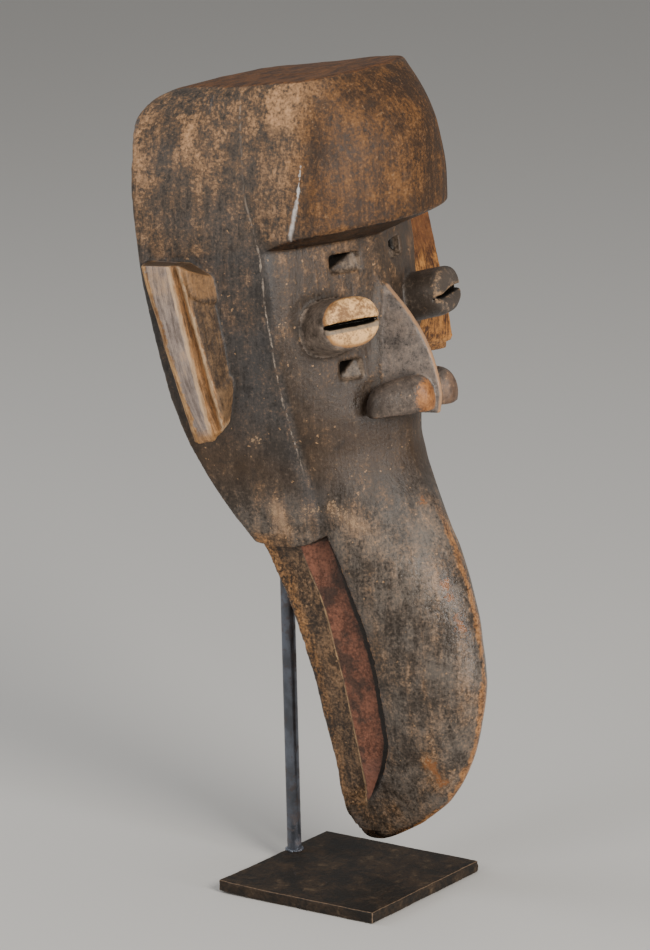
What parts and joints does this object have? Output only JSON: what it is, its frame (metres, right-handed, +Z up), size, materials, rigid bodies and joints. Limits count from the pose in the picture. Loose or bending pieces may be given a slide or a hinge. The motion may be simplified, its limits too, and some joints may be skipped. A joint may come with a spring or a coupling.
{
  "type": "beaked mask on stand",
  "caption": "Carved wooden mask with block forehead, tube eyes, grooved ears and a long closed beak, open at the back, held on a steel rod with a square foot plate.",
  "frame": {"origin": "middle of the foot plate's underside, where the stand rests on a surface", "axes": "+Z up along the rod, -Y the way the mask faces, +X towards the mask's own left"},
  "size_m": [0.2101, 0.1624, 0.4462],
  "materials": {
    "patinated_wood": "dark satin patina, worn tan on its edges",
    "blackened_steel": "blackened, satin",
    "rusted_steel": "mottled black and brown rust, dull"
  },
  "bodies": {
    "root": {"mask": "patinated_wood", "rod": "blackened_steel", "base_plate": "rusted_steel"}
  },
  "joints": []
}
